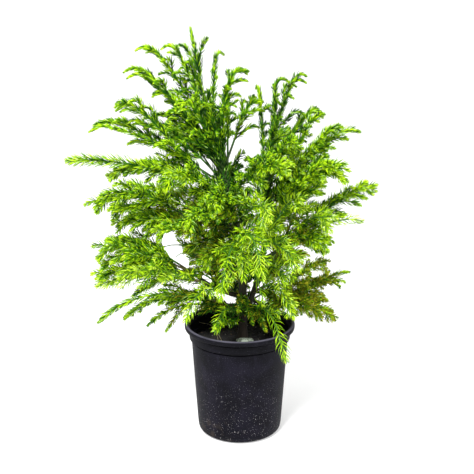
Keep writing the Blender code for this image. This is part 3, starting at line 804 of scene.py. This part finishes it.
# %% Needle pieces
MOST_NEEDLES = 19000  # in one piece
needle_count = 0
for index in range(len(TINTS)):
    chosen = np.flatnonzero(tint == index)
    for part in range(0, len(chosen), MOST_NEEDLES):
        points, faces = needle_mesh(chosen[part : part + MOST_NEEDLES])
        name = f"needles_{index}_{part // MOST_NEEDLES}"
        piece = add_piece(name, points, faces, needle_materials[index])
        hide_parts(*[spray.name for spray in SPRAYS])
        needle_count += len(faces) // 10
        print(name, len(faces), "triangles")
print("needles:", needle_count)

# %% [markdown]
# ## Twigs
#
# A stem is brown for its first quarter, and then green as its side twigs are. Without them the needles would
# hang in the air, but only glimpses show, so tubes with three to six sides are enough.

# %% Twigs
BROWN_SHARE = 0.25
# For a stem, a side twig and a twig's twig: steps, sides, and radius at the foot and the tip in millimetres.
TWIG_SIZES = [(12, 6, 1.9, 0.6), (5, 4, 0.9, 0.4), (4, 3, 0.6, 0.35)]


def twig_tube(shoot, first=0.0, last=1.0):
    """The wood of a shoot between two shares of its length: a tube whose radius falls evenly to the tip."""
    steps, sides, foot, tip = TWIG_SIZES[shoot.level]
    shares = np.linspace(first, last, max(2, round(steps * (last - first))) + 1)
    path = resampled(shoot.path, shares * (len(shoot.path) - 1))
    points, faces = tube(path, (foot + (tip - foot) * shares) * MM, sides)
    return points, triangles(faces)


stems = [shoot for shoot in shoots if shoot.level == 0]
brown_parts = [twig_tube(shoot, 0, BROWN_SHARE) for shoot in stems]
green_parts = [twig_tube(shoot, BROWN_SHARE, 1) for shoot in stems]
green_parts += [twig_tube(shoot) for shoot in shoots if shoot.level > 0]
for name, parts, material, slot in (
    ("stems", brown_parts, brown_twig, "bark"),
    ("twigs", green_parts, green_twig, "mid"),
):
    points, faces = merged(parts)
    piece = add_piece(name, points, faces, material)
    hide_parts(*[spray.name for spray in SPRAYS])
    print(name, len(faces), "triangles")

# %% [markdown]
# ## Pot
#
# A nursery pot is a thin shell of black plastic: a rolled lip over a collar, a step, a tapered wall, and a
# floor with drain holes. A Screw modifier and a Boolean could make it, but the Boolean leaves edges that
# don't close. Here numpy turns the model's profile, and lays the floor's faces round the holes.


# %% Turning a profile
def rounded(corners, steps=6):
    """A profile of (r, z, radius) corners as points. An arc replaces each corner P, from A to B on its two sides:
    (1 - t) squared A + 2 t (1 - t) P + t squared B."""
    points = []
    for i, (r, z, radius) in enumerate(corners):
        here = np.array([r, z])
        if radius == 0 or i in (0, len(corners) - 1):
            points.append(here)
            continue
        before, after = (np.array(corners[j][:2]) - here for j in (i - 1, i + 1))
        reach = min(radius, 0.48 * np.linalg.norm(before), 0.48 * np.linalg.norm(after))
        a, b = here + unit(before) * reach, here + unit(after) * reach
        for t in np.linspace(0, 1, steps):
            points.append((1 - t) ** 2 * a + 2 * t * (1 - t) * here + t * t * b)
    return np.array(points)


def turned(profile, sides):
    """A profile of (r, z) turned about Z: (r cos a, r sin a, z), in triangles. A ring without radius is a pole."""
    turn = np.arange(sides) * math.tau / sides
    ring = np.stack([np.cos(turn), np.sin(turn)], -1)
    heights = np.broadcast_to(profile[:, None, 1:], (len(profile), sides, 1))
    rings = np.concatenate([profile[:, None, :1] * ring[None], heights], -1)
    keep = np.arange(len(profile) * sides)
    pole = np.repeat(profile[:, 0] < 1e-9, sides)
    keep[pole] -= keep[pole] % sides
    faces = keep[ring_faces(len(profile), sides)]
    faces = np.vstack([faces[:, [0, 2, 1]], faces[:, [0, 3, 2]]])
    a, b, c = faces.T
    faces = faces[(a != b) & (b != c) & (c != a)]
    used, faces = np.unique(faces, return_inverse=True)
    return rings.reshape(-1, 3)[used], faces.reshape(-1, 3)


def welded(points, faces, within=1e-6):
    """The same mesh with points that coincide made one."""
    _, first, same = np.unique(np.round(points / within), axis=0, return_index=True, return_inverse=True)
    return points[first], same.reshape(-1)[faces]


print("a straight profile turned in 8 steps:", len(turned(rounded([(1, 0, 0), (1, 1, 0)]), 8)[1]), "triangles")

# %% The pot's profile
WALL, FOOT = 0.0014, 0.0002
FLOOR_DISC = 0.0495
POT_CORNERS = [
    (FLOOR_DISC, WALL, 0),
    (0.0530, WALL, 0.002),
    (0.0625, 0.012, 0.008),
    (0.0708, 0.1466, 0.001),
    (0.0741, 0.1494, 0.001),
    (0.0741, 0.1626, 0.001),
    (0.0775, 0.1668, 0.002),
    (0.0775, 0.1708, 0.0015),
    (0.0792, 0.1722, 0.002),
    (0.0818, 0.1716, 0.002),
    (0.0827, 0.1690, 0.003),
    (0.0822, 0.1642, 0.002),
    (0.0798, 0.1634, 0.001),
    (0.0745, 0.1634, 0.0008),
    (0.0745, 0.1612, 0.0006),
    (0.0759, 0.1606, 0.0010),
    (0.0755, 0.1494, 0.0012),
    (0.0745, 0.1490, 0.0006),
    (0.0708, 0.1488, 0.0004),
    (0.0708, 0.1468, 0.0004),
    (0.0722, 0.1460, 0.0010),
    (0.0635, 0.0120, 0.006),
    (0.0622, 0.0046, 0.004),
    (0.0578, 0.0010, 0.003),
    (0.0530, FOOT, 0.002),
    (FLOOR_DISC, FOOT, 0),
]
DRAINS, DRAIN_RING, DRAIN_RADIUS = 5, 0.042, 0.006
SPOKE_STEPS = 7
POT_SIDES = 26 * DRAINS
shell = turned(rounded(POT_CORNERS), POT_SIDES)
print("the shell without its floor:", len(shell[1]), "triangles")


# %% The floor and its drain holes
def drained_floor(top, bottom):
    """The floor, one fifth at a time: from each point of the fifth's edge, a line runs straight to the edge of its
    drain hole. The hole's wall joins the two faces."""
    half, arc = math.pi / DRAINS, POT_SIDES // DRAINS
    turn = np.linspace(-half, half, arc + 1)
    rim = FLOOR_DISC * np.stack([np.cos(turn), np.sin(turn)], -1)
    inwards = np.arange(1, SPOKE_STEPS)[:, None] / SPOKE_STEPS
    edge = np.vstack([rim, rim[-1] * (1 - inwards), [(0, 0)], rim[0] * inwards])
    centre = np.array([DRAIN_RING, 0])
    hole = centre + DRAIN_RADIUS * unit(edge - centre)
    count = len(edge)
    here, after = np.arange(count), (np.arange(count) + 1) % count
    low = 2 * count

    def strip(a, b, c, d):
        """The faces between corners a, b, c and d, as the triangles a b c and a c d."""
        return np.vstack([np.stack([a, b, c], -1), np.stack([a, c, d], -1)])

    across_floor = strip(here, after, count + after, count + here)
    wall = strip(count + here, count + after, low + count + after, low + count + here)
    fifths = []
    for i in range(DRAINS):
        turned_by = math.tau * (i + 0.5) / DRAINS
        cos, sin = math.cos(turned_by), math.sin(turned_by)
        flat = np.vstack([edge, hole]) @ np.array([(cos, sin), (-sin, cos)])
        points = np.vstack([np.column_stack([flat, np.full(low, z)]) for z in (top, bottom)])
        fifths.append((points, np.vstack([across_floor, across_floor[:, ::-1] + low, wall])))
    return merged(fifths)


pot_points, pot_faces = welded(*merged([shell, drained_floor(WALL, FOOT)]))
print("the pot with", DRAINS, "drain holes:", len(pot_faces), "triangles")


# %% Black plastic
def plastic_material():
    """Black recycled plastic with a violet cast: scuffed, with specks of grit, and brown dirt low on its left. A
    painted highlight lies on the lip's top, and painted shade on the collar, the lip's outer face and the inner
    wall.
    """
    shader = Shader("pot_plastic", (16, 15, 25), 0.6)
    shader.main.inputs["Specular IOR Level"].default_value = 0.08
    blotches = shader.band(shader.noise(34, 5), 0.35, 0.70)
    base = shader.mix(blotches, (5, 5, 11), (15, 14, 24))
    scuffs = shader.band(shader.noise(70, 4, (1, 1, 0.2)), 0.56, 0.72)
    base = shader.mix(shader.times(scuffs, 0.5), base, (27, 25, 36))
    up = shader.axis("Z")
    # Painted highlight: the top of the lip is lighter, towards pale grey.
    lip_highlight = shader.band(up, 0.1702, 0.1718)
    # Painted shade: the collar and the lip's outer face, below its top, are darker, at half strength.
    collar_shade = shader.times(shader.band(up, 0.147, 0.150), shader.band(up, 0.1706, 0.1690))
    base = shader.mix(shader.times(collar_shade, 0.5), base, (4, 4, 7))
    base = shader.mix(shader.times(lip_highlight, 0.8), base, (84, 82, 94))
    low_left = shader.times(shader.band(up, 0.06, 0.0), shader.band(shader.axis("X"), 0.0, -0.05))
    dirt = shader.times(shader.band(shader.noise(90, 4), 0.48, 0.64), low_left)
    base = shader.mix(shader.times(dirt, 0.55), base, (58, 50, 42))
    grit = shader.band(shader.noise(760, 1), 0.71, 0.74)
    base = shader.mix(shader.times(grit, shader.band(up, 0.15, 0.0)), base, (164, 160, 160))
    fine = shader.band(shader.noise(1100, 1), 0.70, 0.76)
    base = shader.mix(shader.times(fine, 0.6), base, (86, 86, 98))
    # The inner wall, whose normal points back to the axis, gets painted shade: it is nearly black, over the
    # scuffs, grit and dirt.
    normal = shader.nodes.new("ShaderNodeTexCoord").outputs["Normal"]
    facing = shader.node("VectorMath", {0: normal, 1: shader.place}, "Value", operation="DOT_PRODUCT")
    shader.colour(shader.mix(shader.band(facing, 0.0, -0.03), base, (4, 4, 6)))
    shader.bump(shader.noise(700, 3), 0.00020)
    return shader.material


pot = add_piece("nursery_pot", pot_points, pot_faces, plastic_material())
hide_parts("pot")
print("made", pot.name)

# %% [markdown]
# ## Potting mix
#
# Dark crumbs with chips of bark, some grit, a pale flake and dry strands. A flat disc with a bump would look
# painted, so three sizes of noise lift its surface, and the chips are small solids on it.

# %% The surface of the mix
CRUMBS = [(1.5, 0.014, 1), (0.9, 0.005, 2), (0.5, 0.002, 3)]  # height in millimetres, cell in metres, seed
SINK, MOUND, MOUND_RADIUS = 0.0010, 0.004, 0.07


def mix_height(x, y):
    """The height of the mix: a mound that falls by the square of the distance out, plus crumbs of three sizes."""
    flat = np.stack([x, y, np.zeros_like(x)], -1)
    crumbs = sum(height * smooth_noise(flat, cell, seed) for height, cell, seed in CRUMBS)
    return MIX_TOP - SINK - MOUND * (np.hypot(x, y) / MOUND_RADIUS) ** 2 + crumbs * MM


def mix_material():
    """Nearly black, and lighter brown where the noise that lifts the relief is high."""
    shader = Shader("potting_mix", (18, 15, 13), 0.95)
    crumbs = shader.noise(900, 5)
    shader.colour(shader.mix(shader.band(crumbs, 0.35, 0.75), (2, 2, 2), (15, 12, 10)))
    shader.bump(crumbs, 0.0012)
    return shader.material


MIX_RINGS, MIX_SIDES = 64, 200
MIX_EDGE, MIX_FOOT, MIX_DEPTH = 0.0705, 0.0698, 0.014
mix_profile = [(MIX_EDGE * i / (MIX_RINGS - 1), 1) for i in range(MIX_RINGS)] + [(MIX_FOOT, 0), (0, 0)]
mix_points, mix_faces = turned(np.array(mix_profile, float), MIX_SIDES)
top = mix_points[:, 2] > 0.5
mix_points[:, 2] = np.where(top, mix_height(mix_points[:, 0], mix_points[:, 1]), MIX_TOP - MIX_DEPTH)
mix = add_piece("mix_surface", mix_points, mix_faces, mix_material())
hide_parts("potting_mix")
print("mix:", len(mix_faces), "triangles")


# %% Chips and grit
def chips(count, sizes, seed, spread=0.066):
    """Small irregular lumps lying on the mix: each is a solid with eight sides whose six points are pulled out at
    random, tilted about Y, turned about Z, and set at a random place in a disc."""
    draw = np.random.default_rng(seed)
    shape = np.array([(1, 0, 0), (0, 1, 0), (-1, 0, 0), (0, -1, 0), (0, 0, 1), (0, 0, -1)], float)
    faces = np.array([(0, 1, 4), (1, 2, 4), (2, 3, 4), (3, 0, 4), (1, 0, 5), (2, 1, 5), (3, 2, 5), (0, 3, 5)])
    size = draw.uniform(0.5, 1.0, (count, 1, 3)) * np.array(sizes) * MM
    points = shape[None] * size * draw.uniform(0.7, 1.3, (count, 6, 1))
    turn, tilt = draw.uniform(0, math.tau, (count, 1)), draw.uniform(-0.5, 0.5, (count, 1))
    x, y, z = points[..., 0], points[..., 1], points[..., 2]
    x, z = x * np.cos(tilt) - z * np.sin(tilt), x * np.sin(tilt) + z * np.cos(tilt)
    x, y = x * np.cos(turn) - y * np.sin(turn), x * np.sin(turn) + y * np.cos(turn)
    out, where = spread * np.sqrt(draw.random(count)), draw.uniform(0, math.tau, count)
    px, py = out * np.cos(where), out * np.sin(where)
    points = np.stack([x + px[:, None], y + py[:, None], z + mix_height(px, py)[:, None]], -1)
    return points.reshape(-1, 3), (faces[None] + 6 * np.arange(count)[:, None, None]).reshape(-1, 3)


for name, count, sizes, seed, colour in (
    ("mix_chips_dark", 420, (2.6, 1.6, 1.0), 5, (26, 20, 17)),
    ("mix_chips_brown", 70, (3.2, 1.5, 0.8), 6, (70, 52, 38)),
    ("mix_grit", 26, (1.3, 1.1, 0.9), 7, (150, 148, 138)),
):
    shader = Shader(name, colour, 0.9)
    shader.colour(shader.mix(shader.noise(700, 3), tuple(round(c * 0.6) for c in colour), colour))
    points, faces = chips(count, sizes, seed)
    add_piece(name, points, faces, shader.material, smooth=False)
    print(name, len(faces), "triangles")

# %% The pale flake: a ball dented by noise, and pressed flat
FLAKE_SIDES, FLAKE_RINGS = 26, 9
FLAKE_SIZE, FLAKE_PLACE = (0.0125, 0.0070, 0.0032), (0.0079, -0.0150, 0.1478)
turn, rise = np.meshgrid(
    np.arange(FLAKE_SIDES) * math.tau / FLAKE_SIDES, np.linspace(-math.pi / 2, math.pi / 2, FLAKE_RINGS + 2)
)
ball = np.stack([np.cos(turn) * np.cos(rise), np.sin(turn) * np.cos(rise), np.sin(rise)], -1)
ball = ball * (1 + 0.28 * smooth_noise(ball, 0.7, 21) + 0.10 * smooth_noise(ball, 0.25, 22))[..., None]
flake = np.concatenate([ball[0, :1], ball[1:-1].reshape(-1, 3), ball[-1, :1]]) * FLAKE_SIZE
j = np.arange(FLAKE_SIDES)
k, last = (j + 1) % FLAKE_SIDES, 1 + (FLAKE_RINGS - 1) * FLAKE_SIDES
lower_cap = np.stack([k + 1, j + 1, 0 * j], -1)
upper_cap = np.stack([last + j, last + k, 0 * j + last + FLAKE_SIDES], -1)
flake_faces = np.vstack([triangles(ring_faces(FLAKE_RINGS, FLAKE_SIDES, 1)), lower_cap, upper_cap])
shader = Shader("pale_flake", (134, 146, 130), 0.85)
mottle = shader.band(shader.noise(260, 4), 0.40, 0.62)
shader.colour(shader.mix(mottle, (84, 92, 78), (146, 156, 142)))
add_piece("mix_flake", flake + FLAKE_PLACE, flake_faces, shader.material)
print("flake:", len(flake_faces), "triangles")


# %% Dry strands
def strand(corners, radius):
    """A thin closed tube along straight lines between a few points. Each point of the path moves three times to
    (before + 2 itself + after) / 4, which rounds the corners."""
    corners = np.array(corners) * MM
    path = resampled(corners, np.linspace(0, len(corners) - 1, 8 * (len(corners) - 1) + 1))
    for _ in range(3):
        path[1:-1] = (path[:-2] + 2 * path[1:-1] + path[2:]) / 4
    points, faces = tube(path, np.full(len(path), radius), 5)
    return points, triangles(faces)


STRAND_RADIUS = 0.00045
FROM_THE_WALL = [(-66, 36, 162), (-61.4, 41.8, 154), (-50.8, 48.8, 149.5), (-41.1, 42.6, 148)]
STRANDS = [  # corners in millimetres
    FROM_THE_WALL + [(-36.1, 24.4, 147.5), (-32.4, -11.7, 147.5), (-31, -20, 146.5)],
    [(-36.5, 20, 146.5), (-31, 4, 148), (-26.4, -15.6, 146.5)],
    [(-40, 60, 160), (-32.3, 60, 153.5), (-21.3, 58, 148.5), (-12, 50, 146.5)],
]
shader = Shader("strand", (120, 112, 84), 0.8)
shader.colour(shader.mix(shader.noise(300, 3), (74, 68, 48), (150, 142, 108)))
points, faces = merged([strand(corners, STRAND_RADIUS) for corners in STRANDS])
add_piece("mix_strands", points, faces, shader.material)
print(len(STRANDS), "strands:", len(faces), "triangles")

# %% [markdown]
# ## Floor, light and camera
#
# A flat floor would end in a line, so one turned as the pot is sweeps up into a wall on every side, and
# glows a little to stay pale. A large lamp at the front left gives soft shadows, and the others fill them.

# %% Floor and world
FLOOR_RADIUS, SWEEP_RADIUS, WALL_TOP = 2.6, 1.6, 4.5
FLOOR_GLOW, WORLD_STRENGTH = 0.40, 0.46
sweep_turn = np.linspace(0, math.pi / 2, 24)
sweep = np.stack([FLOOR_RADIUS + SWEEP_RADIUS * np.sin(sweep_turn), SWEEP_RADIUS * (1 - np.cos(sweep_turn))], -1)
sweep = np.vstack([[(0, 0)], sweep, [(FLOOR_RADIUS + SWEEP_RADIUS, WALL_TOP)]])
floor_points, floor_faces = turned(sweep, 96)
floor_mesh = bpy.data.meshes.new("floor")
floor_mesh.from_pydata(floor_points.tolist(), [], floor_faces.tolist())
floor_mesh.polygons.foreach_set("use_smooth", [True] * len(floor_faces))
floor = bpy.data.objects.new("floor", floor_mesh)
shader = Shader("floor", (200, 200, 200), 0.9)
shader.main.inputs["Emission Color"].default_value = (1, 1, 1, 1)
shader.main.inputs["Emission Strength"].default_value = FLOOR_GLOW
floor_mesh.materials.append(shader.material)
bpy.context.scene.collection.objects.link(floor)

world = bpy.data.worlds.new("studio")
world.use_nodes = True
background = world.node_tree.nodes["Background"].inputs
background["Color"].default_value = (1, 1, 1, 1)
background["Strength"].default_value = WORLD_STRENGTH
bpy.context.scene.world = world
print("floor:", len(floor_faces), "triangles")


# %% Lamps and camera
def area_light(name, place, target, size, power):
    """A round lamp turned so that its -Z points at the target: tilted from straight down, then turned about Z."""
    lamp = bpy.data.lights.new(name, "AREA")
    lamp.shape, lamp.size, lamp.energy = "DISK", size, power
    obj = bpy.data.objects.new(name, lamp)
    bpy.context.scene.collection.objects.link(obj)
    obj.location = place
    way = unit(np.array(target) - np.array(place))
    obj.rotation_euler = (math.acos(-way[2]), 0, math.atan2(way[1], way[0]) - math.pi / 2)


area_light("key", (-0.8, -1.9, 2.7), (0, 0, 0.3), 0.9, 180)
area_light("fill", (1.9, -1.5, 1.2), (0, 0, 0.3), 1.2, 18)
area_light("backdrop", (0, 0.9, 3.2), (0, 2.4, 0.1), 2.0, 30)

CAMERA_TILT, SENSOR = 16.4, 36
# The frame is 474 pixels wide, and stands 999 pixels from the eye.
camera_data = bpy.data.cameras.new("camera")
camera_data.sensor_width, camera_data.lens = SENSOR, SENSOR * 999 / 474
camera = bpy.data.objects.new("camera", camera_data)
camera.location = EYE
camera.rotation_euler = (math.radians(90 - CAMERA_TILT), 0, 0)
bpy.context.scene.collection.objects.link(camera)
bpy.context.scene.camera = camera
bpy.context.scene.view_settings.view_transform = "Standard"
print("camera at", EYE)
